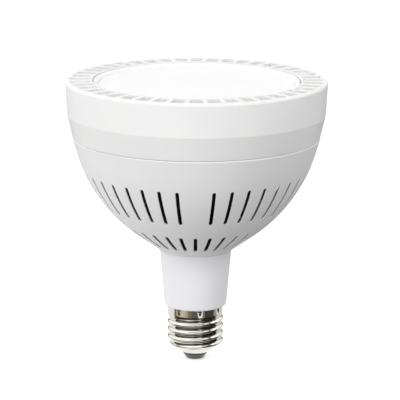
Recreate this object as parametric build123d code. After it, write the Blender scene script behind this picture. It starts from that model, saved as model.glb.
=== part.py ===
from build123d import *
import math
import os

# Pool light bulb: slotted bowl, slotted bezel round a frosted lens, tapering neck and
# medium Edison screw cap. Millimetres, +Z from the centre contact up to the lens, and
# the origin at the middle of the contact's underside.

# ---- driving dimensions -------------------------------------------------------------
# Heights in this file are taken from a plane 1.1 above the contact's underside, and
# keep() lifts each finished piece by that much.
LIFT = 1.1
TOTAL_H = 132.3          # that plane to the bezel's rim
RIM_R = 60.0             # bezel's largest radius
RIM_ROUND = 1.4          # rounding of the bezel's top outer edge
CREASE_R, CREASE_Z = 59.4, 117.0
SEAM_R, SEAM_Z = 57.0, 106.4
WALL = 1.5               # bowl's wall
LIP_R = 47.7             # lens recess
POCKETS = 44             # radial air slots through the bezel's top
POCKET_IN, POCKET_OUT = 48.8, 57.7
POCKET_DEPTH = 5.4       # right through the ring, into the hollow below
POCKET_BAR = 2.2         # bar left between two air slots
LENS_Z = 130.4
LENS_RIM_Z = 131.9       # outer edge of the lens's sloping rim
BOWL_PROFILE = [         # outer (r, z) of the bowl
    (16.95, 52.5), (22.1, 56.35), (27.2, 60.0), (34.7, 66.1), (41.4, 73.2),
    (47.2, 81.3), (52.5, 91.5), (55.9, 101.7), (57.2, 106.1),
]
SLOT_W = 1.55
UP_COUNT, UP_A, UP_B = 40, (41.95, 73.8), (52.3, 91.1)      # upper row, ends (r, z)
LOW_COUNT, LOW_A, LOW_B = 32, (22.1, 56.35), (34.35, 65.8)  # lower row
NECK_TOP_R, NECK_BOT_R = 16.75, 14.6
NECK_TOP_Z, NECK_BOT_Z = 52.5, 26.7
CASE_TOP_Z = 72.4        # top of the driver's case, inside the bowl
SHELL_TOP_Z = 25.6
SHELL_R, SHELL_T = 12.9, 0.4          # skirt of the screw shell, sheet thickness
THREAD_ROOT, THREAD_CREST, THREAD_PITCH = 12.2, 13.15, 3.629
THREAD_Z0, THREAD_Z1 = 6.9, 21.0
STAKES = 8
SINK_Z0, SINK_Z1, SINK_Z2 = 94.0, 108.0, 112.0   # fins' tips, base's two faces
SINK_R = 49.3
EAR_R, EAR_PCD_R = 3.6, 52.0
FAN_Z0, FAN_Z1 = 80.0, 92.0
FAN_R_OUT, FAN_R_IN = 35.0, 32.5
FAN_EAR_R = 38.0
HUB_R = 14.0
BLADES = 7
BLADE_TIP_R = 31.6
SHAFT_R = 1.0
WIRE_R = 0.65
SCREW_AZ = [45, 135, 225, 315]

os.makedirs("parts", exist_ok=True)
NODES = {}


def polar(r, az, z=0.0):
    """A point at azimuth az, in degrees from -Y towards +X."""
    a = math.radians(az)
    return (r * math.sin(a), -r * math.cos(a), z)


def revolved(pts):
    """A solid of revolution about Z from a closed (r, z) polygon."""
    with BuildSketch(Plane.XZ) as sk:
        with BuildLine():
            Polyline(*pts, close=True)
        make_face()
    return revolve(sk.sketch, axis=Axis.Z)


def cyl(r, z0, z1, at=(0, 0)):
    return Pos(at[0], at[1], (z0 + z1) / 2) * Cylinder(r, z1 - z0)


def ring(r0, r1, z0, z1):
    return cyl(r1, z0, z1) - cyl(r0, z0 - 1, z1 + 1)


def block(x0, x1, y0, y1, z0, z1):
    return Pos((x0 + x1) / 2, (y0 + y1) / 2, (z0 + z1) / 2) * Box(
        x1 - x0, y1 - y0, z1 - z0
    )


def turned(solid, az):
    return Rot(0, 0, az) * solid


def keep(name, shape):
    """Write one node, as a solid or as a group of separate solids, lifted into place."""
    solids = list((Pos(0, 0, LIFT) * shape).solids())
    out = solids[0] if len(solids) == 1 else Compound(children=solids)
    out.label = name
    NODES[name] = out
    export_step(out, f"parts/{name}.step")


def wire(points, radii, r=WIRE_R):
    path = FilletPolyline(*points, radius=radii)
    start = Plane(origin=path @ 0, z_dir=path % 0)
    return sweep(start * Circle(r), path=path)


# ---- front bezel --------------------------------------------------------------------
with BuildSketch(Plane.XZ) as sk:
    with BuildLine():
        Polyline(
            (SEAM_R, SEAM_Z), (CREASE_R, CREASE_Z), (RIM_R, TOTAL_H - RIM_ROUND)
        )
        RadiusArc(
            (RIM_R, TOTAL_H - RIM_ROUND), (RIM_R - RIM_ROUND, TOTAL_H), -RIM_ROUND
        )
        Polyline(
            (RIM_R - RIM_ROUND, TOTAL_H), (LIP_R + 0.35, TOTAL_H),
            (LIP_R, TOTAL_H - 0.35), (LIP_R, 127.6), (45.4, 127.6), (45.4, 126.6),
            (47.9, 126.6), (47.9, SINK_Z2 + 0.05), (49.4, SINK_Z2 + 0.05), (49.4, 127.0),
            (57.4, 127.0), (57.1, CREASE_Z), (SEAM_R - 2.05, SEAM_Z),
            (SEAM_R, SEAM_Z),
        )
    make_face()
bezel = revolve(sk.sketch, axis=Axis.Z)

# one air slot, its bars parallel-sided, corners rounded
half_in = math.pi * POCKET_IN / POCKETS - POCKET_BAR / 2
half_out = math.pi * POCKET_OUT / POCKETS - POCKET_BAR / 2
with BuildSketch(Plane.XY.offset(TOTAL_H - POCKET_DEPTH)) as sk:
    Polygon(
        (-half_in, -POCKET_IN), (half_in, -POCKET_IN),
        (half_out, -POCKET_OUT), (-half_out, -POCKET_OUT), align=None,
    )
    fillet(sk.vertices(), 0.7)
pocket = extrude(sk.sketch, POCKET_DEPTH + 1)
bezel -= [turned(pocket, 360 / POCKETS * i) for i in range(POCKETS)]
# screw bosses, joined to the inner wall
for az in SCREW_AZ:
    x, y, _ = polar(EAR_PCD_R, az)
    bezel += cyl(3.1, SINK_Z2 + 0.05, 127.5, (x, y))
for az in SCREW_AZ:
    x, y, _ = polar(EAR_PCD_R, az)
    bezel -= cyl(1.42, SINK_Z2 - 1, 123.0, (x, y))
keep("front_bezel", bezel)

# ---- lens, gasket, reflector --------------------------------------------------------
keep("lens", revolved([
    (0, 128.2), (47.2, 128.2), (47.4, 128.4), (47.4, LENS_RIM_Z - 0.2),
    (47.1, LENS_RIM_Z), (45.2, LENS_RIM_Z - 0.85), (45.0, LENS_Z), (0, LENS_Z),
]))
keep("lens_gasket", ring(45.8, 47.3, 127.6, 128.2))
keep("reflector", revolved([
    (43.2, 114.1), (47.0, 114.1), (47.0, 115.3), (44.4, 115.3), (45.2, 127.2),
    (44.1, 127.2),
]))

# ---- lamp board ---------------------------------------------------------------------
BOARD_SCREW_R = 33.0
board_holes = [cyl(1.7, 105, 116, polar(BOARD_SCREW_R, az)[:2]) for az in SCREW_AZ]
wire_hole = cyl(3.0, 90, 116, (0, FAN_EAR_R + 0.5))
keep("thermal_pad", cyl(46.5, 112.0, 112.5) - board_holes - wire_hole)
keep("led_board", cyl(47.2, 112.5, 114.1) - board_holes
     - cyl(2.2, 112, 115, (0, FAN_EAR_R + 0.5)))
chips = []
for r, n, ph in ((12, 8, 0), (23, 16, 0), (41, 28, 360 / 56)):
    for i in range(n):
        az = ph + 360 / n * i
        chips.append(
            Pos(*polar(r, az, 114.5)) * Rot(0, 0, az) * Box(3.0, 3.0, 0.8)
        )
keep("led_chips", Compound(children=chips))
screws = None
for az in SCREW_AZ:
    at = polar(BOARD_SCREW_R, az)[:2]
    s = cyl(2.6, 114.1, 115.7, at) + cyl(1.2, 109.0, 114.1, at)
    s -= Pos(at[0], at[1], 115.4) * (Box(3.4, 0.6, 0.8) + Box(0.6, 3.4, 0.8))
    screws = s if screws is None else screws + s
keep("board_screws", screws)

# ---- heat sink: base with four ears, radial fins, core and four fan posts -----------
sink = cyl(SINK_R, SINK_Z1, SINK_Z2) + cyl(13.0, SINK_Z0, SINK_Z1 + 0.5)
sink -= cyl(7.0, SINK_Z0 - 1, SINK_Z1 - 2)
for az in SCREW_AZ:
    sink += cyl(EAR_R, 109.4, SINK_Z2, polar(EAR_PCD_R, az)[:2])
fin = block(-0.7, 0.7, -48.0, -12.0, SINK_Z0, SINK_Z1 + 0.5)
for i in range(36):
    sink += turned(fin, 5 + 10 * i)
for az in SCREW_AZ:
    sink += cyl(3.0, FAN_Z1, SINK_Z1 + 0.5, polar(FAN_EAR_R, az)[:2])
for az in SCREW_AZ:
    sink -= cyl(1.6, 105.0, 113.0, polar(EAR_PCD_R, az)[:2])
    sink -= cyl(1.22, FAN_Z1 - 1, 104.0, polar(FAN_EAR_R, az)[:2])
    sink -= cyl(1.22, 108.5, 113.0, polar(BOARD_SCREW_R, az)[:2])
sink -= wire_hole
keep("heat_sink", sink)

screws = None
for az in SCREW_AZ:
    at = polar(EAR_PCD_R, az)[:2]
    s = cyl(2.5, 107.8, 109.4, at) + cyl(1.4, 109.4, 121.0, at)
    s -= Pos(at[0], at[1], 108.0) * (Box(3.2, 0.6, 0.8) + Box(0.6, 3.2, 0.8))
    screws = s if screws is None else screws + s
keep("bezel_screws", screws)

# ---- fan ----------------------------------------------------------------------------
frame = ring(FAN_R_IN, FAN_R_OUT, FAN_Z0, FAN_Z1)
for az in SCREW_AZ:
    frame += turned(
        block(-3.6, 3.6, -FAN_EAR_R, -33.5, 88.0, FAN_Z1), az
    ) + cyl(3.6, 88.0, FAN_Z1, polar(FAN_EAR_R, az)[:2])
for az in (0, 120, 240):
    frame += turned(block(-1.6, 1.6, -33.5, -9.0, FAN_Z0, FAN_Z0 + 1.8), az)
frame += cyl(11.0, FAN_Z0, FAN_Z0 + 1.8)
frame += cyl(3.9, FAN_Z0, 89.0)
frame -= cyl(2.62, FAN_Z0 + 0.8, 90.0)
for az in SCREW_AZ:
    frame -= cyl(1.5, 87.0, 93.0, polar(FAN_EAR_R, az)[:2])
keep("fan_frame", frame)
keep("fan_bearing", ring(SHAFT_R + 0.03, 2.6, 82.0, 88.8))

# rotor: cup with the blades round it, magnet ring and shaft inside
rotor = cyl(HUB_R, 82.6, 91.2) - cyl(HUB_R - 1.2, 81.0, 90.0)
rotor += cyl(2.4, 89.3, 90.5)
rotor -= cyl(SHAFT_R + 0.01, 88.0, 90.6)
blade_len = BLADE_TIP_R - HUB_R
with BuildSketch(Plane.XZ.offset(HUB_R - 0.6)) as sk:
    with Locations((0, 87.0)):
        Rectangle(12.5, 1.1, rotation=32)
    fillet(sk.vertices(), 0.4)
blade = extrude(sk.sketch, blade_len + 1.5)
blade = blade & ring(HUB_R - 0.7, BLADE_TIP_R, 82.0, 92.0)
for i in range(BLADES):
    rotor += turned(blade, 360 / BLADES * i)
keep("fan_rotor", rotor)
keep("rotor_magnet", ring(10.4, HUB_R - 1.25, 83.2, 89.4))
keep("fan_shaft", cyl(SHAFT_R, 82.3, 90.55))
stator = ring(3.95, 5.6, 83.4, 88.4)
for az in (0, 90, 180, 270):
    stator += turned(block(-1.2, 1.2, -8.8, -5.0, 84.0, 87.8), az)
    stator += turned(block(-3.4, 3.4, -9.6, -8.2, 84.0, 87.8), az)
    stator += turned(block(-2.3, 2.3, -7.9, -5.4, 83.0, 88.8), az)
stator = stator & cyl(9.7, 80, 92)
keep("fan_stator", stator)
screws = None
for az in SCREW_AZ:
    at = polar(FAN_EAR_R, az)[:2]
    s = cyl(2.3, 86.4, 88.0, at) + cyl(1.2, 88.0, 102.0, at)
    s -= Pos(at[0], at[1], 86.6) * (Box(3.0, 0.6, 0.8) + Box(0.6, 3.0, 0.8))
    screws = s if screws is None else screws + s
keep("fan_screws", screws)

# ---- rear cover: bowl, tongue into the bezel, collar round the neck, two rows of slots
def inward(points, d):
    """Points moved inwards from the outer profile, square to it."""
    out = []
    for i, (r, z) in enumerate(points):
        a = points[max(i - 1, 0)]
        b = points[min(i + 1, len(points) - 1)]
        tr, tz = b[0] - a[0], b[1] - a[1]
        n = math.hypot(tr, tz)
        out.append((r - tz / n * d, z + tr / n * d))
    return out


inner = inward(BOWL_PROFILE, WALL)[1:]
inner[-1] = (BOWL_PROFILE[-1][0] - WALL - 0.05, BOWL_PROFILE[-1][1])
COLLAR_R = 19.0
with BuildSketch(Plane.XZ) as sk:
    with BuildLine():
        Spline(*BOWL_PROFILE)
        Polyline(
            BOWL_PROFILE[-1], (SEAM_R - 2.25, BOWL_PROFILE[-1][1]),
            (SEAM_R - 2.25, 108.4), (SEAM_R - 3.65, 108.4), (SEAM_R - 3.65, 104.5),
            inner[-2],
        )
        Spline(*inner[:-1])
        Polyline(inner[0], (COLLAR_R, 60.0), (16.95, 60.0), (16.95, 52.5))
    make_face()
cover = revolve(sk.sketch, axis=Axis.Z)


def slot_cutter(a, b, depth_in, depth_out):
    """A round-ended slot from a to b, both (r, z), cut square to the wall."""
    length = math.dist(a, b) + SLOT_W * 0.0
    mid = ((a[0] + b[0]) / 2, (a[1] + b[1]) / 2)
    dr, dz = (b[0] - a[0]) / math.dist(a, b), (b[1] - a[1]) / math.dist(a, b)
    # at azimuth 0 the radius runs along -Y
    plane = Plane(
        origin=(0, -mid[0], mid[1]), x_dir=(0, -dr, dz), z_dir=(0, -dz, -dr)
    )
    shape = plane.offset(-depth_in) * SlotOverall(length, SLOT_W)
    return extrude(shape, amount=depth_in + depth_out)


upper = slot_cutter(UP_A, UP_B, 4.0, 4.0)
lower = slot_cutter(LOW_A, LOW_B, 2.8, 4.0)
cuts = [turned(upper, 360 / UP_COUNT * i) for i in range(UP_COUNT)
        if i not in (0, UP_COUNT // 2)]
cuts += [turned(lower, 360 / LOW_COUNT * i) for i in range(LOW_COUNT)]
cover -= cuts
# reliefs in the tongue for the bezel's screws
for az in SCREW_AZ:
    cover -= turned(block(-4.6, 4.6, -56.0, -50.0, 106.4, 110.0), az)
keep("rear_cover", cover)

# ---- neck and driver's case ---------------------------------------------------------
keep("neck_sleeve", revolved([
    (11.4, SHELL_TOP_Z + 0.05), (13.7, SHELL_TOP_Z + 0.05), (14.15, 25.8),
    (14.45, 26.15), (NECK_BOT_R, NECK_BOT_Z),
    (NECK_TOP_R, NECK_TOP_Z), (NECK_TOP_R, 60.05), (19.6, 60.05), (19.6, 61.6),
    (17.2, 61.6), (17.2, CASE_TOP_Z), (15.4, CASE_TOP_Z), (15.0, 52.5),
    (12.7, 31.0), (9.9, 27.0), (9.9, 9.0), (11.4, 9.0),
]))
# the case's lid, widened into a baffle under the fan
lid = cyl(28.0, CASE_TOP_Z, CASE_TOP_Z + 1.6) + ring(13.6, 15.2, 70.6, CASE_TOP_Z + 0.2)
lid -= cyl(2.2, 70, 76, (0, 8.5))
lid -= cyl(1.4, 70, 76, (-9.0, 0))
keep("driver_lid", lid)

# ---- driver -------------------------------------------------------------------------
BY0, BY1 = 3.2, 4.7      # board's two faces
keep("driver_board", block(-11.0, 11.0, BY0, BY1, 31.0, 70.2))
core = block(-7.5, 7.5, -3.3, 2.2, 56.0, 69.0) - block(-5.0, 5.0, -4, 3, 58.5, 66.5)
core += block(-2.2, 2.2, -3.3, 2.2, 56.0, 69.0)
coil = block(-4.6, 4.6, -6.4, 2.9, 58.9, 66.1)
coil = fillet(coil.edges().filter_by(Axis.Z), 1.5)
base = block(-7.0, 7.0, 2.2, BY0, 57.0, 68.0)
keep("transformer", core + coil + base)
can = cyl(5.0, 34.0, 50.0, (-4.5, -2.0))
can = chamfer(can.edges(), 0.4)
keep("bulk_capacitor", can)
can = cyl(4.0, 46.5, 58.0, (0, BY1 + 4.05))
can = chamfer(can.edges(), 0.4)
keep("output_capacitor", can)
film = block(3.0, 9.0, -4.0, BY0, 42.0, 50.0)
keep("film_capacitor", fillet(film.edges(), 0.6))
choke = Pos(5.9, 0, 36.0) * Rot(90, 0, 0) * (
    Pos(0, 0, -BY0 + 0.6) * Cylinder(3.9, 1.2)
    + Pos(0, 0, 0) * Cylinder(2.6, 2 * BY0 - 0.4)
    + Pos(0, 0, BY0 - 0.6) * Cylinder(3.9, 1.2)
)
keep("input_choke", choke)
keep("bridge_rectifier", block(-8.5, -1.5, BY1, BY1 + 2.4, 34.0, 40.0))
fuse = cyl(1.7, 33.0, 42.0, (5.5, BY1 + 1.75))
keep("fuse_resistor", fillet(fuse.edges(), 0.6))
keep("driver_chip", block(-3.0, 3.0, BY1, BY1 + 1.6, 61.0, 66.0))

# ---- screw cap ----------------------------------------------------------------------
T = SHELL_T
shell = revolved([
    (6.4, 2.35), (7.5, 3.0), (9.3, 4.4), (11.0, 5.95), (THREAD_ROOT, 7.3),
    (THREAD_ROOT, 21.0),
    (SHELL_R, 21.9), (SHELL_R, SHELL_TOP_Z), (SHELL_R - T, SHELL_TOP_Z),
    (SHELL_R - T, 22.1), (THREAD_ROOT - T, 21.2), (THREAD_ROOT - T, 7.45),
    (10.68, 6.25), (9.02, 4.74), (7.24, 3.34), (6.3, 2.78),
])
# rolled thread: a round-topped rib winding up the shell
helix = Helix(
    pitch=THREAD_PITCH, height=THREAD_Z1 - THREAD_Z0 - 3.2, radius=THREAD_ROOT,
    center=(0, 0, THREAD_Z0 + 1.6),
)
with BuildSketch(Plane(origin=(THREAD_ROOT, 0, THREAD_Z0 + 1.6), x_dir=(1, 0, 0),
                       z_dir=(0, -1, 0))) as sk:
    with BuildLine():
        Polyline((0, 1.25), (-0.25, 1.25), (-0.25, -1.25), (0, -1.25))
        ThreePointArc((0, -1.25), (THREAD_CREST - THREAD_ROOT, 0), (0, 1.25))
    make_face()
rib = sweep(sk.sketch, path=helix, is_frenet=True)
shell = shell + Rot(0, 0, 49.6) * rib
for i in range(STAKES):
    az = 10.6 + 360 / STAKES * i
    shell -= Pos(*polar(SHELL_R + 0.55, az, 23.3)) * Sphere(0.8)
keep("screw_shell", shell)
stem = 1.25
keep("cap_insulator", revolved([
    (stem, -0.75), (4.0, -0.75), (4.45, -0.6), (4.85, -0.2), (5.4, 0.5), (5.8, 1.1),
    (6.0, 1.7), (6.0, 3.2), (7.2, 3.7), (9.0, 5.2), (9.0, 6.6), (stem, 6.6),
]))
keep("centre_contact", revolved([
    (0, -LIFT), (3.0, -LIFT), (3.3, -0.98), (3.4, -0.76), (1.2, -0.76), (1.2, 2.6),
    (0, 2.6),
]))

# ---- wires, each held all the way ---------------------------------------------------
keep("live_wire", wire(
    [(0, 0, 2.65), (0, 0, 13.0), (-5.0, 3.9, 22.0), (-5.0, 3.9, 30.95)], [5.0, 5.0]))
keep("neutral_wire", wire(
    [(5.0, 3.9, 30.95), (5.0, 3.9, 24.0), (5.5, 0.5, 8.0), (10.9, 0.0, 7.6)],
    [5.0, 3.0]))
pair = None
for x in (-1.1, 1.1):
    w = wire(
        [(x, 8.5, 69.5), (x, 8.5, 77.0), (x, FAN_EAR_R + 0.5, 77.0),
         (x, FAN_EAR_R + 0.5, 114.6)], [2.9, 2.9])
    pair = w if pair is None else pair + w
keep("led_wires", pair)
keep("fan_lead", wire(
    [(-9.0, 0, 69.5), (-9.0, 0, 75.0), (-8.0, 2.5, 77.6), (-8.0, 2.5, 79.95)],
    [1.8, 1.8], 0.6))

for name, shape in NODES.items():
    print(name, len(shape.solids()), round(shape.volume, 1))
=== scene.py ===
import math
import random

import bmesh
import bpy
import numpy as np
from mathutils import Matrix, Vector


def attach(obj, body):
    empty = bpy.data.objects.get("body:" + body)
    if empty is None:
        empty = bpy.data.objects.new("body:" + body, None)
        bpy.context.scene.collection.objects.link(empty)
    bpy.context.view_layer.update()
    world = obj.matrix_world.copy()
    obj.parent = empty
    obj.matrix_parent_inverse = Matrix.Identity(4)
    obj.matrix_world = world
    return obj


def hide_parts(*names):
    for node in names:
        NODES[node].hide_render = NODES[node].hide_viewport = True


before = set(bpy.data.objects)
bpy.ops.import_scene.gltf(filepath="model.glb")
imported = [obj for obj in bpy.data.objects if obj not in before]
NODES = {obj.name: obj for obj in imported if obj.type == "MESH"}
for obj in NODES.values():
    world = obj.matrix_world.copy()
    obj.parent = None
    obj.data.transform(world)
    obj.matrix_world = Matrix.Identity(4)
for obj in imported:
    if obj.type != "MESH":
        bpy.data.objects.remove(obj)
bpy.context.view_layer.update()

MM = 0.001

# ---- dimensions shared with the construction, in millimetres ------------------------
# heights are taken from a plane 1.1 above the contact's underside, and build() lifts
# each piece by that much
LIFT = 1.1
TOTAL_H = 132.3
RIM_R, RIM_ROUND = 60.0, 1.4
CREASE_R, CREASE_Z = 59.4, 117.0
SEAM_R, SEAM_Z = 57.0, 106.4
LIP_R = 47.7
POCKETS, POCKET_IN, POCKET_OUT, POCKET_BAR = 44, 48.8, 57.7, 2.2
BOWL = [
    (16.95, 52.5), (22.1, 56.35), (27.2, 60.0), (34.7, 66.1), (41.4, 73.2),
    (47.2, 81.3), (52.5, 91.5), (55.9, 101.7), (57.2, 106.1),
]
SLOT_W, WALL = 1.55, 1.2
LIP = 0.55               # rounding of the bowl's upper edge, under the seam
UP_COUNT, UP_Z = 40, (73.8, 91.1)
LOW_COUNT, LOW_Z = 32, (56.35, 65.8)
ROOT, CREST, PITCH = 12.2, 13.15, 3.629


# ---- camera: the photograph's own viewpoint -----------------------------------------
ELEV = math.radians(13.84)
cam_data = bpy.data.cameras.new("camera")
cam = bpy.data.objects.new("camera", cam_data)
bpy.context.scene.collection.objects.link(cam)
cam_data.sensor_width = 36.0
cam_data.lens = 170.09
cam_data.clip_start, cam_data.clip_end = 0.01, 50
DIST = 0.87708
ROLL = math.radians(0.35)
cam.matrix_world = (
    Matrix.Translation((0.00190, -DIST * math.cos(ELEV), 0.07648 + DIST * math.sin(ELEV)))
    @ Matrix.Rotation(math.pi / 2 - ELEV, 4, "X")
    @ Matrix.Rotation(ROLL, 4, "Z")
)
bpy.context.scene.camera = cam


# ---- mesh helpers -------------------------------------------------------------------
def link(ob):
    bpy.context.scene.collection.objects.link(ob)
    return ob


def build(name, verts, faces, body="housing", weighted=True):
    """A smooth-shaded piece from millimetre points, its faces turned outwards."""
    me = bpy.data.meshes.new(name)
    me.from_pydata([(x * MM, y * MM, (z + LIFT) * MM) for x, y, z in verts], [], faces)
    bm = bmesh.new()
    bm.from_mesh(me)
    bmesh.ops.remove_doubles(bm, verts=bm.verts, dist=1e-7)
    bmesh.ops.recalc_face_normals(bm, faces=bm.faces)
    for f in bm.faces:
        f.smooth = True
    bm.to_mesh(me)
    bm.free()
    ob = link(bpy.data.objects.new(name, me))
    if weighted:
        weigh(ob)
    return ob


def weigh(ob):
    """Shading normals that follow the large faces, so small rounded edges catch light."""
    mod = ob.modifiers.new("weighted", "WEIGHTED_NORMAL")
    mod.mode = "FACE_AREA"
    mod.weight = 100
    mod.keep_sharp = False
    dg = bpy.context.evaluated_depsgraph_get()
    dg.update()
    me = bpy.data.meshes.new_from_object(
        ob.evaluated_get(dg), preserve_all_data_layers=True, depsgraph=dg
    )
    old = ob.data
    ob.modifiers.clear()
    ob.data = me
    bpy.data.meshes.remove(old)


def rounded(points, seg=4):
    """A closed (r, z) outline from (r, z, corner radius) points."""
    out = []
    n = len(points)
    for i, (r, z, rad) in enumerate(points):
        if rad <= 0:
            out.append((r, z))
            continue
        p = np.array((r, z))
        a = np.array(points[i - 1][:2]) - p
        b = np.array(points[(i + 1) % n][:2]) - p
        la, lb = np.linalg.norm(a), np.linalg.norm(b)
        a, b = a / la, b / lb
        half = math.acos(max(-1, min(1, float(a @ b)))) / 2
        t = min(rad / math.tan(half), la * 0.49, lb * 0.49)
        rad = t * math.tan(half)
        c = p + (a + b) / np.linalg.norm(a + b) * rad / math.sin(half)
        s, e = p + a * t - c, p + b * t - c
        a0, a1 = math.atan2(s[1], s[0]), math.atan2(e[1], e[0])
        d = (a1 - a0 + math.pi) % (2 * math.pi) - math.pi
        for k in range(seg + 1):
            w = a0 + d * k / seg
            out.append((c[0] + rad * math.cos(w), c[1] + rad * math.sin(w)))
    return out


def lathe_data(outline, cols, verts, faces, step=None):
    """Adds a solid of revolution. Outline points on the axis become one vertex."""
    if step:
        fine = []
        n = len(outline)
        for i in range(n):
            a, b = np.array(outline[i]), np.array(outline[(i + 1) % n])
            k = max(1, int(math.ceil(np.linalg.norm(b - a) / step)))
            if a[0] < 1e-6 and b[0] < 1e-6:
                k = 1
            fine += [tuple(a + (b - a) * j / k) for j in range(k)]
        outline = fine
    rows = []
    for r, z in outline:
        if r < 1e-6:
            rows.append([len(verts)] * cols)
            verts.append((0.0, 0.0, z))
        else:
            rows.append(list(range(len(verts), len(verts) + cols)))
            for c in range(cols):
                a = 2 * math.pi * c / cols
                verts.append((r * math.sin(a), -r * math.cos(a), z))
    n = len(rows)
    for i in range(n):
        p, q = rows[i], rows[(i + 1) % n]
        if p[0] == p[1] and q[0] == q[1]:
            continue
        for c in range(cols):
            d = (c + 1) % cols
            face = [p[c], p[d], q[d], q[c]]
            face = [v for j, v in enumerate(face) if v != face[j - 1]]
            if len(face) > 2:
                faces.append(face)


def lathe(name, outline, cols=192, step=None):
    verts, faces = [], []
    lathe_data(outline, cols, verts, faces, step)
    return build(name, verts, faces)


class Natural:
    """A natural cubic spline through (r, z) points, walked by its arc length."""

    def __init__(self, points):
        p = np.array(points, float)
        t = np.r_[0, np.cumsum(np.hypot(*np.diff(p, axis=0).T))]
        n = len(t)
        h = np.diff(t)
        a = np.zeros((n, n))
        a[0, 0] = a[-1, -1] = 1
        rhs = np.zeros((n, 2))
        for i in range(1, n - 1):
            a[i, i - 1], a[i, i], a[i, i + 1] = h[i - 1], 2 * (h[i - 1] + h[i]), h[i]
            rhs[i] = 6 * ((p[i + 1] - p[i]) / h[i] - (p[i] - p[i - 1]) / h[i - 1])
        m = np.linalg.solve(a, rhs)
        fine = []
        for i in range(n - 1):
            u = np.linspace(0, h[i], 400, endpoint=i == n - 2)[:, None]
            v = h[i] - u
            fine.append(
                (m[i] * v**3 + m[i + 1] * u**3) / (6 * h[i])
                + (p[i] / h[i] - m[i] * h[i] / 6) * v
                + (p[i + 1] / h[i] - m[i + 1] * h[i] / 6) * u
            )
        self.p = np.vstack(fine)
        d = np.diff(self.p, axis=0)
        self.s = np.r_[0, np.cumsum(np.hypot(*d.T))]
        tan = np.gradient(self.p, self.s, axis=0)
        self.n = np.column_stack([tan[:, 1], -tan[:, 0]])
        self.n /= np.linalg.norm(self.n, axis=1)[:, None]
        self.length = float(self.s[-1])

    def at(self, s):
        return (
            float(np.interp(s, self.s, self.p[:, 0])),
            float(np.interp(s, self.s, self.p[:, 1])),
        )

    def normal(self, s):
        return (
            float(np.interp(s, self.s, self.n[:, 0])),
            float(np.interp(s, self.s, self.n[:, 1])),
        )

    def s_of_z(self, z):
        return float(np.interp(z, self.p[:, 1], self.s))


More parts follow.
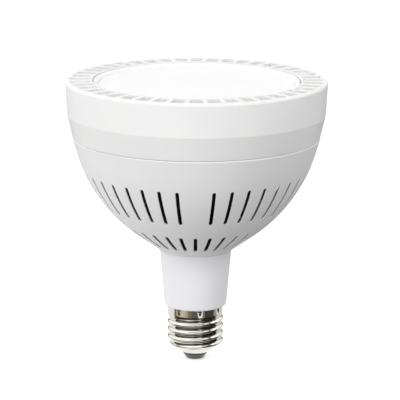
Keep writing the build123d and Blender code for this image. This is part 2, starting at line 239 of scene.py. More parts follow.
# ---- bowl: one mesh, both rows of slots with rounded rims, true wall ----------------
def make_bowl():
    line = Natural(BOWL)
    cols = 320
    verts, faces, ids = [], [], {}

    def point(az, s, depth):
        r, z = line.at(s)
        nr, nz = line.normal(s)
        r, z = r - nr * depth, z - nz * depth
        if depth > 0:
            r = max(r, 16.95)
        return (r * math.sin(az), -r * math.cos(az), z)

    def vid(az, s, depth=0.0):
        c = az / (2 * math.pi) * cols
        key = (round((c % cols) * 1e4) % (cols * 10000), round(s * 1e5), round(depth * 1e4))
        if key not in ids:
            ids[key] = len(verts)
            verts.append(point(az, s, depth))
        return ids[key]

    def step_az(c):
        return 2 * math.pi * c / cols

    def plain_band(s_rows, c0=0, c1=cols):
        for a, b in zip(s_rows[:-1], s_rows[1:]):
            for c in range(c0, c1):
                for depth in (0.0, WALL):
                    faces.append([
                        vid(step_az(c), a, depth), vid(step_az(c + 1), a, depth),
                        vid(step_az(c + 1), b, depth), vid(step_az(c), b, depth),
                    ])

    def strip(one, two):
        m = len(one)
        for i in range(m):
            j = (i + 1) % m
            faces.append([one[i], one[j], two[j], two[i]])

    def stadium(mid, sa, sb, half, C, K, grow):
        """Points (azimuth, s) round a slot, grown by `grow`, in the cell ring's order."""
        h = half + grow
        lo, hi = sa + half, sb - half
        pts = []
        for i in range(C):
            w = math.pi + math.pi * i / C
            pts.append((h * math.cos(w), lo + h * math.sin(w)))
        for i in range(K):
            pts.append((h, lo + (hi - lo) * i / K))
        for i in range(C):
            w = math.pi * i / C
            pts.append((h * math.cos(w), hi + h * math.sin(w)))
        for i in range(K):
            pts.append((-h, hi + (lo - hi) * i / K))
        return [(mid + x / line.at(s)[0], s) for x, s in pts]

    def cell(centre, C, rows, sa, sb):
        K = len(rows) - 1
        c0, c1 = centre - C // 2, centre + C // 2
        mid = step_az(centre)
        outer = [(step_az(c0 + i), rows[0]) for i in range(C)]
        outer += [(step_az(c1), rows[i]) for i in range(K)]
        outer += [(step_az(c1 - i), rows[K]) for i in range(C)]
        outer += [(step_az(c0), rows[K - i]) for i in range(K)]
        half = SLOT_W / 2
        rim = stadium(mid, sa, sb, half, C, K, 0.28)
        mix = [
            (a[0] * 0.5 + b[0] * 0.5, a[1] * 0.5 + b[1] * 0.5)
            for a, b in zip(outer, rim)
        ]
        rings = [[vid(a, s) for a, s in ring] for ring in (outer, mix, rim)]
        for grow, depth in ((0.13, 0.035), (0.04, 0.12), (0.0, 0.28), (0.55, WALL - 0.05),
                            (0.62, WALL)):
            ring = stadium(mid, sa, sb, half, C, K, grow)
            rings.append([vid(a, s, depth) for a, s in ring])
        rings.append([vid(a, s, WALL) for a, s in outer])
        for one, two in zip(rings[:-1], rings[1:]):
            strip(one, two)

    sa1, sb1 = line.s_of_z(LOW_Z[0]), line.s_of_z(LOW_Z[1])
    sa2, sb2 = line.s_of_z(UP_Z[0]), line.s_of_z(UP_Z[1])
    low = list(np.linspace(sa1 - 1.3, sb1 + 1.3, 13))
    up = list(np.linspace(sa2 - 1.4, sb2 + 1.4, 19))

    def between(a, b, step):
        return list(np.linspace(a, b, max(2, int(round((b - a) / step)) + 1)))

    base = [0.0, 0.12, 0.4] + between(0.4, low[0], 1.3)[1:]
    plain_band(base)
    plain_band(between(low[-1], up[0], 1.6))
    lip = line.length - LIP
    plain_band(between(up[-1], lip - 0.5, 1.7) + [lip])
    for i in range(LOW_COUNT):
        cell(10 * i, 10, low, sa1, sb1)
    for i in range(UP_COUNT):
        if i in (0, UP_COUNT // 2):
            plain_band(up, 8 * i - 4, 8 * i + 4)
        else:
            cell(8 * i, 8, up, sa2, sb2)
    for c in range(cols):
        faces.append([
            vid(step_az(c), 0.0, 0.0), vid(step_az(c + 1), 0.0, 0.0),
            vid(step_az(c + 1), 0.0, WALL), vid(step_az(c), 0.0, WALL),
        ])
    # the lip under the bezel: a rolled outer edge, then the flat that backs the seam
    r1, z1 = line.at(lip)
    n1 = line.normal(lip)
    tr, tz = -n1[1], n1[0]
    cr, cz = r1 - n1[0] * LIP, z1 - n1[1] * LIP
    edge = [(r1, z1)]
    for k in range(1, 6):
        w = math.pi / 2 * k / 5
        edge.append((cr + LIP * (n1[0] * math.cos(w) + tr * math.sin(w)),
                     cz + LIP * (n1[1] * math.cos(w) + tz * math.sin(w))))
    z_top = edge[-1][1]
    rin, zin = line.at(lip)[0] - n1[0] * WALL, line.at(lip)[1] - n1[1] * WALL
    edge += [(rin, z_top), (rin, zin)]
    for (ra, za), (rb, zb) in zip(edge[:-1], edge[1:]):
        for c in range(cols):
            quad = []
            for rr, zz, cc in ((ra, za, c), (ra, za, c + 1), (rb, zb, c + 1), (rb, zb, c)):
                a = step_az(cc)
                quad.append(len(verts))
                verts.append((rr * math.sin(a), -rr * math.cos(a), zz))
            faces.append(quad)
    # the collar round the neck and the tongue that enters the bezel
    lathe_data(rounded([(16.95, 55.2, 0), (19.0, 56.6, 0), (19.0, 60.0, 0.3),
                        (16.95, 60.0, 0.3)]), 128, verts, faces)
    lathe_data(rounded([(56.2, 105.75, 0), (54.75, 106.05, 0.1), (54.75, 106.4, 0),
                        (53.35, 106.4, 0), (53.35, 104.5, 0.4), (54.45, 102.3, 0),
                        (55.2, 102.1, 0)]), 192, verts, faces)
    # the tongue's upper half stops short of the four screws
    section = rounded([(54.75, 106.3, 0), (54.75, 108.4, 0.3), (53.35, 108.4, 0.3),
                       (53.35, 106.3, 0)])
    for side in range(4):
        start = len(verts)
        for k in range(37):
            a = math.radians(90 * side - 40 + 80 * k / 36)
            verts.extend((r * math.sin(a), -r * math.cos(a), z) for r, z in section)
        m = len(section)
        for k in range(36):
            for i in range(m):
                j = (i + 1) % m
                faces.append([start + k * m + i, start + k * m + j,
                              start + (k + 1) * m + j, start + (k + 1) * m + i])
        faces.append([start + i for i in range(m)])
        faces.append([start + 36 * m + i for i in reversed(range(m))])
    return build("bowl_shell", verts, faces)


# ---- bezel: turned body with pockets, every edge rounded ----------------------------
def make_bezel():
    C, K = 8, 8
    cols = POCKETS * C
    verts, faces, ids = [], [], {}
    R0, R1 = 48.3, 58.2
    U0, U1 = 49.4, 57.4
    UNDER = 127.0
    flat = TOTAL_H

    def vid(az, r, z):
        c = az / (2 * math.pi) * cols
        key = (round((c % cols) * 1e3) % (cols * 1000), round(r * 1e4), round(z * 1e4))
        if key not in ids:
            ids[key] = len(verts)
            verts.append((r * math.sin(az), -r * math.cos(az), z))
        return ids[key]

    def step_az(c):
        return 2 * math.pi * c / cols

    outline = [(SEAM_R - 0.12, SEAM_Z), (SEAM_R - 0.02, SEAM_Z + 0.06), (SEAM_R, SEAM_Z + 0.14)]
    for k in range(1, 8):
        t = k / 7.6
        outline.append((SEAM_R + (CREASE_R - SEAM_R) * t, SEAM_Z + (CREASE_Z - SEAM_Z) * t))
    # the crease is a soft one
    a, b = np.array((CREASE_R, CREASE_Z)), np.array((RIM_R, TOTAL_H - RIM_ROUND))
    back = np.array((SEAM_R - CREASE_R, SEAM_Z - CREASE_Z))
    back /= np.linalg.norm(back)
    fwd = (b - a) / np.linalg.norm(b - a)
    for t in (0, 0.33, 0.67, 1):
        p = a + back * 0.35 * (1 - t) ** 2 + fwd * 0.35 * t**2
        outline.append(tuple(p))
    for k in range(1, 9):
        t = k / 9
        outline.append(tuple(a + fwd * 0.35 + (b - a - fwd * 0.35) * t))
    for k in range(0, 9):
        w = math.pi / 2 * k / 8
        outline.append((
            RIM_R - RIM_ROUND + RIM_ROUND * math.cos(w),
            TOTAL_H - RIM_ROUND + RIM_ROUND * math.sin(w),
        ))
    outline.append((R1, flat))
    top_break = len(outline) - 1
    outline.append((R0, flat))
    for k in range(0, 5):
        w = math.pi / 2 + math.pi / 2 * k / 4
        outline.append((LIP_R + 0.35 + 0.35 * math.cos(w), flat - 0.35 + 0.35 * math.sin(w)))
    outline += [
        (LIP_R, 129.5), (LIP_R, 127.6), (45.4, 127.6), (45.4, 126.6), (47.9, 126.6),
        (47.9, 120.0), (47.9, 112.05), (49.4, 112.05), (49.4, 120.0), (49.4, UNDER),
    ]
    under_break = len(outline) - 1
    outline += [
        (57.4, UNDER), (57.1, CREASE_Z), (56.0, 111.7), (SEAM_R - 2.05, SEAM_Z),
    ]
    n = len(outline)
    for i in range(n):
        if i in (top_break, under_break):
            continue
        (ra, za), (rb, zb) = outline[i], outline[(i + 1) % n]
        for c in range(cols):
            faces.append([
                vid(step_az(c), ra, za), vid(step_az(c + 1), ra, za),
                vid(step_az(c + 1), rb, zb), vid(step_az(c), rb, zb),
            ])

    half_in = math.pi * POCKET_IN / POCKETS - POCKET_BAR / 2
    half_out = math.pi * POCKET_OUT / POCKETS - POCKET_BAR / 2
    slope = math.atan2(half_out - half_in, POCKET_OUT - POCKET_IN)

    def ring(grow, R=0.7):
        """A rounded trapezoid (x, r), starting in the middle of its first corner."""
        lo, hi = POCKET_IN - grow, POCKET_OUT + grow
        side = grow / math.cos(slope)

        def half(r):
            return half_in + (r - POCKET_IN) * math.tan(slope) + side

        corners = [(-half(lo), lo), (half(lo), lo), (half(hi), hi), (-half(hi), hi)]
        R = max(0.12, R + grow)
        cs = []
        for i, p in enumerate(corners):
            p = np.array(p)
            a = np.array(corners[i - 1]) - p
            b = np.array(corners[(i + 1) % 4]) - p
            a, b = a / np.linalg.norm(a), b / np.linalg.norm(b)
            hf = math.acos(float(a @ b)) / 2
            t = R / math.tan(hf)
            c = p + (a + b) / np.linalg.norm(a + b) * R / math.sin(hf)
            s, e = p + a * t - c, p + b * t - c
            a0, a1 = math.atan2(s[1], s[0]), math.atan2(e[1], e[0])
            d = (a1 - a0 + math.pi) % (2 * math.pi) - math.pi
            cs.append((c, a0, d))
        pts = []
        for i in range(4):
            c, a0, d = cs[i]
            nc, na0, nd = cs[(i + 1) % 4]
            for k in range(2):
                w = a0 + d * (0.5 + 0.5 * k / 2)
                pts.append(c + R * np.array((math.cos(w), math.sin(w))))
            p = c + R * np.array((math.cos(a0 + d), math.sin(a0 + d)))
            q = nc + R * np.array((math.cos(na0), math.sin(na0)))
            for k in range(4):
                pts.append(p + (q - p) * k / 4)
            for k in range(2):
                w = na0 + nd * (0.5 * k / 2)
                pts.append(nc + R * np.array((math.cos(w), math.sin(w))))
        return pts

    for cell in range(POCKETS):
        c0 = cell * C - C // 2
        mid = step_az(cell * C)
        def frame_ring(ra, rb, z):
            out = [vid(step_az(c0 + i), ra, z) for i in range(C)]
            out += [vid(step_az(c0 + C), ra + (rb - ra) * i / K, z) for i in range(K)]
            out += [vid(step_az(c0 + C - i), rb, z) for i in range(C)]
            out += [vid(step_az(c0), rb + (ra - rb) * i / K, z) for i in range(K)]
            return out

        rings = [frame_ring(R0, R1, flat)]
        for grow, z in ((0.30, 0.0), (0.13, -0.05), (0.04, -0.14), (0.0, -0.32),
                        (0.0, -1.6), (0.0, -3.4), (0.0, UNDER - flat)):
            idx = []
            for x, r in ring(grow):
                az = mid + math.atan2(x, r)
                d = math.hypot(x, r)
                if z == UNDER - flat:
                    d = min(max(d, U0 + 0.08), U1 - 0.08)
                idx.append(vid(az, d, flat + z))
            rings.append(idx)
        rings.append(frame_ring(U0, U1, UNDER))
        for one, two in zip(rings[:-1], rings[1:]):
            m = len(one)
            for i in range(m):
                j = (i + 1) % m
                faces.append([one[i], one[j], two[j], two[i]])
    # screw bosses, which close a few of the slots from below
    for az in (45, 135, 225, 315):
        a = math.radians(az)
        cx, cy = 52.0 * math.sin(a), -52.0 * math.cos(a)
        rows = []
        for r, z in ((1.42, 112.05), (3.1, 112.05), (3.1, 120.0), (3.1, 127.3), (2.9, 127.5),
                     (0.0, 127.5), (0.0, 123.0), (1.42, 123.0)):
            if r == 0.0:
                rows.append([len(verts)] * 32)
                verts.append((cx, cy, z))
            else:
                rows.append(list(range(len(verts), len(verts) + 32)))
                for k in range(32):
                    w = 2 * math.pi * k / 32
                    verts.append((cx + r * math.cos(w), cy + r * math.sin(w), z))
        for i in range(len(rows)):
            p, q = rows[i], rows[(i + 1) % len(rows)]
            if p[0] == p[1] and q[0] == q[1]:
                continue
            for k in range(32):
                f = [p[k], p[(k + 1) % 32], q[(k + 1) % 32], q[k]]
                f = [v for j, v in enumerate(f) if v != f[j - 1]]
                faces.append(f)
    return build("bezel_cap", verts, faces)


# ---- screw shell: rolled sheet with a true helical thread and staking marks ---------
def make_shell():
    cols = 288
    stakes = [math.radians(10.6 + 45 * i) for i in range(8)]
    rng = random.Random(7)
    jitter = [(rng.uniform(-0.03, 0.03), rng.uniform(-0.25, 0.25)) for _ in stakes]

    def smooth(x):
        x = min(1.0, max(0.0, x))
        return x * x * (3 - 2 * x)

    def base_r(z):
        pts = [(2.35, 6.4), (3.0, 7.5), (3.7, 8.4), (4.4, 9.3), (5.2, 10.2), (5.95, 10.95),
               (6.7, 11.6), (7.4, 12.05), (8.0, ROOT)]
        if z < 8.0:
            return float(np.interp(z, [p[0] for p in pts], [p[1] for p in pts]))
        if z < 20.5:
            return ROOT
        return ROOT + (12.9 - ROOT) * smooth((z - 20.5) / 1.25)

    def radius(az, z):
        r = base_r(z)
        high = (CREST - ROOT) * smooth((z - 3.6) / 3.6) * smooth((21.5 - z) / 1.3)
        theta = az - math.pi / 2          # the usual angle from +X, anticlockwise
        phase = (z - 8.0 - PITCH * theta / (2 * math.pi)) / PITCH
        r += high * (0.5 + 0.5 * math.cos(2 * math.pi * phase)) ** 1.55
        for s, (da, dz) in zip(stakes, jitter):
            dx = (az - s - da + math.pi) % (2 * math.pi) - math.pi
            # a punch mark: deepest at its top, with a slope that runs out below it
            h = (z - 24.55 - 0.3 * dz) / (0.55 if z > 24.55 + 0.3 * dz else 1.25)
            d2 = (dx * 12.9 / 0.66) ** 2 + h * h
            if d2 < 9:
                r -= (0.16 if abs(s - math.radians(10.6)) < 0.01 else 0.50) * math.exp(-d2 * 1.1)
        return r

    zs = list(np.concatenate([
        np.linspace(2.35, 3.4, 5), np.arange(3.55, 21.9, 0.17),
        np.linspace(21.95, 25.3, 26), [25.42, 25.52, 25.58],
    ]))
    verts, faces = [], []
    T = 0.4
    rows = []
    for k, z in enumerate(zs):
        row = []
        for c in range(cols):
            az = 2 * math.pi * c / cols
            r = min(13.15, radius(az, z))
            if z > 25.35:
                r -= 0.16 * ((z - 25.35) / 0.23) ** 2
            row.append(len(verts))
            verts.append((r * math.sin(az), -r * math.cos(az), z))
        rows.append(row)
    # inner side: smooth, one sheet thickness in
    for z, off in ((25.58, T - 0.05), (24.0, T + 0.5), (22.0, T), (21.0, T), (14.0, T),
                   (8.0, T), (6.4, 0.5), (4.9, 0.5), (3.4, 0.4), (2.75, 0.1)):
        row = []
        for c in range(cols):
            az = 2 * math.pi * c / cols
            r = base_r(z) - off if z > 2.9 else 6.3
            row.append(len(verts))
            verts.append((r * math.sin(az), -r * math.cos(az), z))
        rows.append(row)
    n = len(rows)
    for i in range(n):
        p, q = rows[i], rows[(i + 1) % n]
        for c in range(cols):
            d = (c + 1) % cols
            faces.append([p[c], p[d], q[d], q[c]])
    return build("screw_shell_rolled", verts, faces, weighted=False)


bowl = make_bowl()
bezel = make_bezel()
shell = make_shell()
neck = lathe("neck_moulding", rounded([
    (11.4, 25.65, 0), (14.5, 25.65, 0.95), (14.62, 26.9, 0), (16.75, 52.5, 0),
    (16.75, 60.05, 0), (19.6, 60.05, 0.2), (19.6, 61.6, 0.3),
    (17.2, 61.6, 0.3), (17.2, 72.4, 0.3), (15.4, 72.4, 0), (15.0, 52.5, 0),
    (12.7, 31.0, 0), (9.9, 27.0, 0), (9.9, 9.0, 0), (11.4, 9.0, 0),
], seg=8), 224, 2.2)
lens = lathe("lens_cover", rounded([
    (0, 128.2, 0), (47.1, 128.2, 0.2), (47.2, 131.85, 0.2), (45.3, 131.1, 0.15),
    (45.2, 129.9, 0.05), (44.8, 129.9, 0.05), (44.75, 130.4, 0.1), (0, 130.4, 0),
], seg=4), 256, 4.0)
insulator = lathe("insulator_moulding", rounded([
    (1.25, -0.75, 0), (4.3, -0.75, 0.3), (4.6, -0.3, 0.12), (4.62, 0.02, 0.1),
    (5.55, 1.05, 0.5), (6.0, 1.85, 0.4), (5.95, 3.2, 0), (7.2, 3.7, 0), (9.0, 5.2, 0),
    (9.0, 6.6, 0.2),
    (1.25, 6.6, 0),
], seg=5), 160, 0.8)
contact = lathe("contact_button", rounded([
    (0, -1.1, 0), (3.1, -1.1, 0.5), (3.4, -0.8, 0.12), (3.38, -0.755, 0),
    (1.2, -0.755, 0),
    (1.2, 2.6, 0), (0, 2.6, 0),
], seg=4), 128, 0.6)
for piece, node in (
    (bowl, "rear_cover"), (bezel, "front_bezel"), (shell, "screw_shell"),
    (neck, "neck_sleeve"), (lens, "lens"), (insulator, "cap_insulator"),
    (contact, "centre_contact"),
):
    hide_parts(node)
    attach(piece, "housing")


# ---- materials ----------------------------------------------------------------------
def material(name):
    m = bpy.data.materials.new(name)
    m.use_nodes = True
    nt = m.node_tree
    nt.nodes.clear()
    out = nt.nodes.new("ShaderNodeOutputMaterial")
    bsdf = nt.nodes.new("ShaderNodeBsdfPrincipled")
    nt.links.new(bsdf.outputs[0], out.inputs[0])
    return m, nt, bsdf


def coords(nt, scale=(1, 1, 1)):
    tc = nt.nodes.new("ShaderNodeTexCoord")
    mp = nt.nodes.new("ShaderNodeMapping")
    mp.inputs["Scale"].default_value = scale
    nt.links.new(tc.outputs["Object"], mp.inputs["Vector"])
    return mp.outputs["Vector"]


def noise(nt, vec, scale, detail=2.0, rough=0.5):
    n = nt.nodes.new("ShaderNodeTexNoise")
    n.inputs["Scale"].default_value = scale
    n.inputs["Detail"].default_value = detail
    n.inputs["Roughness"].default_value = rough
    nt.links.new(vec, n.inputs["Vector"])
    return n.outputs["Fac"]


def ramp(nt, fac, low, high, a=0.3, b=0.7):
    """Colour from low to high as fac goes from a to b."""
    r = nt.nodes.new("ShaderNodeValToRGB")
    r.color_ramp.elements[0].position = a
    r.color_ramp.elements[1].position = b
    r.color_ramp.elements[0].color = (*low, 1)
    r.color_ramp.elements[1].color = (*high, 1)
    nt.links.new(fac, r.inputs["Fac"])
    return r.outputs["Color"]


def span(nt, fac, low, high, a=0.3, b=0.7):
    """A number from low to high as fac goes from a to b."""
    m = nt.nodes.new("ShaderNodeMapRange")
    m.inputs["From Min"].default_value = a
    m.inputs["From Max"].default_value = b
    m.inputs["To Min"].default_value = low
    m.inputs["To Max"].default_value = high
    nt.links.new(fac, m.inputs["Value"])
    return m.outputs["Result"]


def bump(nt, fac, strength, distance, after=None):
    b = nt.nodes.new("ShaderNodeBump")
    b.inputs["Strength"].default_value = strength
    b.inputs["Distance"].default_value = distance
    nt.links.new(fac, b.inputs["Height"])
    if after is not None:
        nt.links.new(after, b.inputs["Normal"])
    return b.outputs["Normal"]


def moulded(name, low, high, rough=(0.38, 0.48), grain=2600, grain_strength=0.10,
            grain_depth=0.00005, wave=0.05, sss=0.0, painted_shade=None):
    """Moulded plastic: a spark-eroded grain, faint flow waves and uneven gloss.

    Its last argument paints shade: a height, with the factors that its colour takes below and
    above it.
    """
    m, nt, b = material(name)
    v = coords(nt)
    colour = ramp(nt, noise(nt, v, 38, 3, 0.55), low, high, 0.35, 0.65)
    # painted shade: the colour is scaled down on one side of the given height
    if painted_shade:
        height, below, above = painted_shade
        xyz = nt.nodes.new("ShaderNodeSeparateXYZ")
        nt.links.new(v, xyz.inputs[0])
        factor = span(nt, xyz.outputs["Z"], below, above, height - 2e-4, height + 2e-4)
        scale = nt.nodes.new("ShaderNodeVectorMath")
        scale.operation = "SCALE"
        nt.links.new(colour, scale.inputs[0])
        nt.links.new(factor, scale.inputs["Scale"])
        colour = scale.outputs["Vector"]
    nt.links.new(colour, b.inputs["Base Color"])
    nt.links.new(span(nt, noise(nt, v, 160, 3, 0.6), *rough), b.inputs["Roughness"])
    slow = bump(nt, noise(nt, v, 55, 1, 0.4), wave, 0.0004)
    fine = bump(nt, noise(nt, v, grain, 2, 0.55), grain_strength, grain_depth, slow)
    nt.links.new(fine, b.inputs["Normal"])
    b.inputs["IOR"].default_value = 1.46
    if sss:
        b.inputs["Subsurface Weight"].default_value = sss
        b.inputs["Subsurface Radius"].default_value = (0.0012, 0.0011, 0.001)
        b.inputs["Subsurface Scale"].default_value = 1.0
    return m


def metal(name, low, high, rough, grain=900, strength=0.05, depth=0.00004,
          stretch=(1, 1, 1)):
    m, nt, b = material(name)
    v = coords(nt, stretch)
    nt.links.new(ramp(nt, noise(nt, v, grain * 0.25, 4, 0.6), low, high, 0.3, 0.7),
                 b.inputs["Base Color"])
    nt.links.new(span(nt, noise(nt, v, grain, 4, 0.65), *rough), b.inputs["Roughness"])
    nt.links.new(bump(nt, noise(nt, v, grain, 3, 0.6), strength, depth),
                 b.inputs["Normal"])
    b.inputs["Metallic"].default_value = 1.0
    return m


# painted shade: the bezel's tapered band below the crease is coloured 6 % darker, standing in
# for the shade on its downward-facing slope
casing = moulded("white_casing", (0.865, 0.865, 0.862), (0.885, 0.885, 0.882),
                 (0.34, 0.44), 2200, 0.06, 0.00004, 0.03, sss=0.3, painted_shade=(0.1181, 0.94, 1.0))
bowl_mat = moulded("white_bowl", (0.806, 0.797, 0.803), (0.831, 0.822, 0.828),
                   (0.5, 0.62), 2000, 0.16, 0.00008, 0.03)
def paint_collar_shade(m, radius, height, factor):
    """Painted shade: darken what lies inside a radius and above a height, the collar round the
    neck seen through the lower slots.
    """
    nt = m.node_tree
    base = nt.nodes["Principled BSDF"].inputs["Base Color"]
    colour = base.links[0].from_socket
    xyz = nt.nodes.new("ShaderNodeSeparateXYZ")
    nt.links.new(coords(nt), xyz.inputs[0])
    level = nt.nodes.new("ShaderNodeCombineXYZ")
    nt.links.new(xyz.outputs["X"], level.inputs["X"])
    nt.links.new(xyz.outputs["Y"], level.inputs["Y"])
    length = nt.nodes.new("ShaderNodeVectorMath")
    length.operation = "LENGTH"
    nt.links.new(level.outputs[0], length.inputs[0])
    inside = span(nt, length.outputs["Value"], 1.0, 0.0, radius - 1e-4, radius + 1e-4)
    above = span(nt, xyz.outputs["Z"], 0.0, 1.0, height - 1e-4, height + 1e-4)
    both = nt.nodes.new("ShaderNodeMath")
    both.operation = "MULTIPLY"
    nt.links.new(inside, both.inputs[0])
    nt.links.new(above, both.inputs[1])
    scale = nt.nodes.new("ShaderNodeVectorMath")
    scale.operation = "SCALE"
    nt.links.new(colour, scale.inputs[0])
    nt.links.new(span(nt, both.outputs[0], 1.0, factor, 0.0, 1.0), scale.inputs["Scale"])
    nt.links.new(scale.outputs["Vector"], base)


# painted shade: the white collar inside the bowl is coloured nearly black where it is seen
# through the slots
paint_collar_shade(bowl_mat, 0.0194, 0.0571, 0.03)
# painted shade: the neck above 57.5 mm, inside the bowl, is coloured nearly black to stand in
# for the dark interior seen through the slots
neck_mat = moulded("white_neck", (0.825, 0.815, 0.835), (0.84, 0.83, 0.85),
                   (0.4, 0.5), 2600, 0.05, 0.00004, 0.02, painted_shade=(0.0575, 1.0, 0.02))
lens_mat = moulded("frosted_lens", (0.96, 0.96, 0.96), (0.975, 0.975, 0.975),
                   (0.5, 0.58), 4200, 0.12, 0.00003, 0.0, sss=0.35)
nickel = metal("nickel_shell", (0.79, 0.765, 0.72), (0.83, 0.81, 0.77), (0.035, 0.07),
               1400, 0.05, 0.00003, (1, 1, 0.35))
black = moulded("black_insulator", (0.010, 0.010, 0.011), (0.020, 0.020, 0.021),
                (0.08, 0.16), 1800, 0.05, 0.00003, 0.03)
black.node_tree.nodes["Principled BSDF"].inputs["IOR"].default_value = 1.7
solder = metal("contact_metal", (0.45, 0.43, 0.40), (0.62, 0.60, 0.56), (0.25, 0.42),
               700, 0.25, 0.00008)
anodised = moulded("black_anodised", (0.010, 0.010, 0.011), (0.018, 0.018, 0.019),
                   (0.42, 0.58), 3000, 0.2, 0.00005, 0.0)
fan_black = moulded("fan_black", (0.012, 0.012, 0.012), (0.022, 0.022, 0.022),
                    (0.32, 0.46), 2400, 0.1, 0.00005, 0.02)
steel = metal("zinc_steel", (0.52, 0.53, 0.54), (0.66, 0.67, 0.68), (0.25, 0.4), 1200)
brass = metal("sintered_bronze", (0.52, 0.36, 0.19), (0.62, 0.44, 0.25), (0.35, 0.5), 1500)
copper = metal("enamelled_copper", (0.50, 0.20, 0.09), (0.62, 0.28, 0.14), (0.2, 0.35),
               1500, 0.3, 0.0001, (1, 1, 4))
can = metal("sleeved_can", (0.10, 0.11, 0.16), (0.16, 0.17, 0.24), (0.3, 0.45), 800)
board = moulded("green_board", (0.015, 0.10, 0.04), (0.025, 0.14, 0.06), (0.25, 0.4))
pad = moulded("grey_pad", (0.30, 0.33, 0.36), (0.36, 0.39, 0.42), (0.7, 0.8))
lamp = moulded("phosphor", (0.75, 0.58, 0.08), (0.85, 0.68, 0.14), (0.5, 0.6))
gloss_white = moulded("reflector_white", (0.88, 0.88, 0.88), (0.92, 0.92, 0.92),
                      (0.15, 0.25))
red = moulded("red_sleeve", (0.35, 0.015, 0.01), (0.45, 0.02, 0.015), (0.35, 0.5))
film = moulded("dipped_film", (0.40, 0.09, 0.03), (0.50, 0.13, 0.05), (0.15, 0.3))
rubber = moulded("silicone", (0.62, 0.62, 0.60), (0.70, 0.70, 0.68), (0.55, 0.7))

for ob, mat, slot in (
    (bowl, bowl_mat, "bowl"), (bezel, casing, "casing"), (shell, nickel, "nickel"),
    (neck, neck_mat, "casing"), (lens, lens_mat, "lens"),
    (insulator, black, "insulator"), (contact, solder, "nickel"),
):
    ob.data.materials.clear()
    ob.data.materials.append(mat)

FINISH = {
    "front_bezel": casing, "rear_cover": bowl_mat, "neck_sleeve": neck_mat,
    "lens": lens_mat, "screw_shell": nickel, "cap_insulator": black,
    "centre_contact": solder, "lens_gasket": rubber, "reflector": gloss_white,
    "thermal_pad": pad, "led_board": gloss_white, "led_chips": lamp,
    "board_screws": steel, "heat_sink": anodised, "bezel_screws": steel,
    "fan_frame": fan_black, "fan_bearing": brass, "fan_rotor": fan_black,
    "rotor_magnet": anodised, "fan_shaft": steel, "fan_stator": copper,
    "fan_screws": steel, "driver_lid": fan_black, "driver_board": board,
    "transformer": anodised, "bulk_capacitor": can, "output_capacitor": can,
    "film_capacitor": film, "input_choke": copper, "bridge_rectifier": fan_black,
    "fuse_resistor": film, "driver_chip": fan_black, "live_wire": fan_black,
    "neutral_wire": rubber, "led_wires": red, "fan_lead": red,
}
for name, ob in NODES.items():
    mat = FINISH[name]
    if not ob.data.materials:
        ob.data.materials.append(mat)
    for i in range(len(ob.data.materials)):
        ob.data.materials[i] = mat


# ---- stage: pale floor, soft studio light -------------------------------------------
def floor_material():
    m, nt, b = material("floor")
    v = coords(nt)
    nt.links.new(ramp(nt, noise(nt, v, 3, 2), (0.93, 0.93, 0.93), (0.95, 0.95, 0.95)),
                 b.inputs["Base Color"])
    b.inputs["Roughness"].default_value = 0.9
    b.inputs["Specular IOR Level"].default_value = 0.1
    b.inputs["Emission Color"].default_value = (1, 1, 1, 1)
    b.inputs["Emission Strength"].default_value = 0.45
    return m


bpy.ops.mesh.primitive_plane_add(size=30, location=(0, 0, 0))
floor = bpy.context.object
floor.name = "floor"
floor.data.materials.append(floor_material())
# the light that comes up from below is set by the bounce cards, not by this white sheet
floor.visible_diffuse = floor.visible_glossy = floor.visible_shadow = False


def emitter(name, colour, strength):
    m = bpy.data.materials.new(name)
    m.use_nodes = True
    nt = m.node_tree
    nt.nodes.clear()
    out = nt.nodes.new("ShaderNodeOutputMaterial")
    e = nt.nodes.new("ShaderNodeEmission")
    e.inputs["Color"].default_value = (*colour, 1)
    e.inputs["Strength"].default_value = strength
    nt.links.new(e.outputs[0], out.inputs[0])
    return m


def card(name, rows, az0, az1, colour, strength, glossy):
    """A studio card, swept about the lamp's axis from (radius, height) points."""
    me = bpy.data.meshes.new(name)
    n, k = 32, len(rows)
    verts, faces = [], []
    for i in range(n + 1):
        a = math.radians(az0 + (az1 - az0) * i / n)
        for r, z in rows:
            verts.append((r * math.sin(a), -r * math.cos(a), z))
    for i in range(n):
        for j in range(k - 1):
            p = i * k + j
            faces.append((p, p + k, p + k + 1, p + 1))
    me.from_pydata(verts, [], faces)
    me.materials.append(emitter(name, colour, strength))
    ob = link(bpy.data.objects.new(name, me))
    ob.visible_camera = ob.visible_shadow = False
    ob.visible_transmission = ob.visible_volume_scatter = False
    ob.visible_diffuse = not glossy
    ob.visible_glossy = glossy
    return ob


# bounce cards on the floor: the soft light that reaches the underside
for name, az0, az1, strength in (
    ("bounce_left", -135, -60, 0.518), ("bounce_front_left", -60, 0, 0.953),
    ("bounce_right", 60, 135, 0.422), ("bounce_back", 135, 225, 0.3),
):
    card(name, [(0.005, -0.001), (1.2, -0.001)], az0, az1, (1, 1, 1), strength, False)

# a pale wall far behind the table's horizon, which only the camera sees
wall = card("backdrop", [(8.0, -0.1), (8.0, 6.0)], 0, 360, (1, 1, 1), 0.62, False)
wall.visible_camera = True
wall.visible_diffuse = wall.visible_glossy = False

# what polished metal sees: a bright table near by, a darker room past its edge on the
# camera's side, and a bright tent over it
WHITE = (1.0, 0.995, 0.985)


def arc(a, b, n=6):
    """Points on the tent between two heights, in degrees over the horizon."""
    return [(math.cos(math.radians(a + (b - a) * i / n)),
             0.015 + math.sin(math.radians(a + (b - a) * i / n))) for i in range(n + 1)]


def flat(a, b):
    """A flat ring on the table between two radii."""
    return [(a, 0.0005), (b, 0.0005)]


INNER, OUTER, END = 0.023, 0.078, 0.132
card("table_near", flat(0.002, INNER), -180, 180, WHITE, 1.02, True)
card("tent_top", arc(54, 89.9, 6), -180, 180, WHITE, 1.2, True)
card("tent_mid", arc(30, 54, 3), 84, 388, WHITE, 1.2, True)
card("room_high_right", arc(30, 54, 3), 28, 84, (0.20, 0.195, 0.185), 1.0, True)
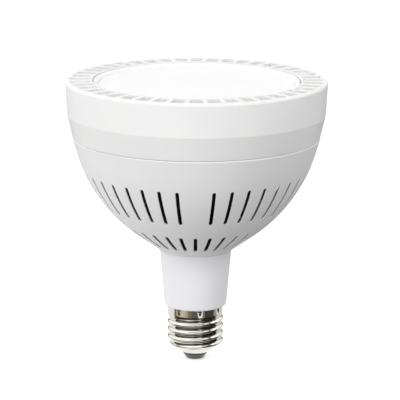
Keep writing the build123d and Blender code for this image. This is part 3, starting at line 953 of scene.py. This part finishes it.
# the lamp's far sides see the tent, with a grey line low down
for side, az0, az1, low_level, line_level in (
    ("left", -200, -92, 0.90, 0.36), ("right", 100, 160, 0.72, 0.28),
):
    card("tent_" + side, flat(INNER, 0.30), az0, az1, WHITE, low_level, True)
    card("tent_" + side + "_low", flat(0.30, 0.95) + arc(0, 9, 2), az0, az1, WHITE,
         line_level, True)
    card("tent_" + side + "_high", arc(9, 30, 3), az0, az1, WHITE, 1.08, True)
# the camera's side: dark close to the table's edge, so that the thread's roots are dark
card("table_dark_left", flat(INNER, OUTER), -92, -6, (0.045, 0.036, 0.030), 1.0, True)
card("table_dark_front", flat(INNER - 0.002, OUTER), -6, 28, (0.016, 0.0145, 0.013),
     1.0, True)
card("table_dark_right", [(INNER - 0.005, 0.0006), (OUTER, 0.0006)], 28, 100,
     (0.016, 0.0145, 0.013), 1.0, True)
for az0, az1, colour in (
    (-92, -84, (0.13, 0.115, 0.09)), (-84, -66, (0.40, 0.35, 0.26)),
    (-66, -52, (0.64, 0.62, 0.50)), (-52, -40, (0.58, 0.55, 0.45)),
    (-40, -28, (0.46, 0.38, 0.28)), (-28, -15, (0.20, 0.18, 0.135)),
    (-15, 13, (0.12, 0.117, 0.112)), (13, 28, (0.90, 0.90, 0.88)),
    (28, 38, (0.20, 0.19, 0.18)), (38, 78, (0.058, 0.054, 0.048)),
    (78, 90, (0.30, 0.29, 0.25)),
    (90, 100, (0.55, 0.53, 0.48)),
):
    card(f"table_ring_{az0 + 100}", flat(OUTER, END), az0, az1, colour, 1.0, True)
card("room_left", flat(END, 0.95) + arc(0, 22, 3), -92, -6, (0.10, 0.09, 0.075), 1.0, True)
card("room_left_high", arc(22, 30, 1), -92, -6, WHITE, 0.95, True)
card("room_right", flat(END, 0.95) + arc(0, 30, 3), -6, 100, (0.016, 0.0145, 0.013), 1.0,
     True)

world = bpy.data.worlds.new("world")
bpy.context.scene.world = world
world.use_nodes = True
bg = world.node_tree.nodes["Background"]
bg.inputs["Color"].default_value = (1.0, 1.0, 1.0, 1)
bg.inputs["Strength"].default_value = 0.01


def soft_box(name, az, el, power, size, dist=2.5):
    """A square soft box aimed at the lamp; azimuth 0 is the camera's side, 90 is +X."""
    a, e = math.radians(az), math.radians(el)
    d = Vector((math.sin(a) * math.cos(e), -math.cos(a) * math.cos(e), math.sin(e)))
    light = bpy.data.lights.new(name, "AREA")
    light.size = size
    light.energy = power
    ob = link(bpy.data.objects.new(name, light))
    ob.location = Vector((0, 0, 0.08)) + d * dist
    ob.rotation_euler = (-d).to_track_quat("-Z", "Y").to_euler()
    ob.visible_camera = ob.visible_glossy = False
    return ob


for name, az, el, power in (
    ("left_back", -120, 12, 32.9), ("left_front", -30, 12, 21.6),
    ("front", 15, 12, 12.7), ("right_front", 60, 12, 10.4), ("right", 105, 12, 10.3),
):
    soft_box(name, az, el, power * 0.95, 2.0)
for name, az, el, power in (
    ("far_left_high", -150, 42, 15.5), ("left_high", -45, 42, 18.5),
    ("front_high", 0, 42, 6.2), ("right_high", 45, 42, 14.2),
    ("right_side_high", 90, 42, 7.6), ("back_high", 150, 42, 4.4),
):
    soft_box(name, az, el, power * 0.95, 0.7)
soft_box("overhead", 0, 85, 3.0, 1.4)

scene = bpy.context.scene
scene.view_settings.view_transform = "Standard"
scene.view_settings.look = "None"
scene.view_settings.exposure = 0.0
scene.view_settings.gamma = 1.0
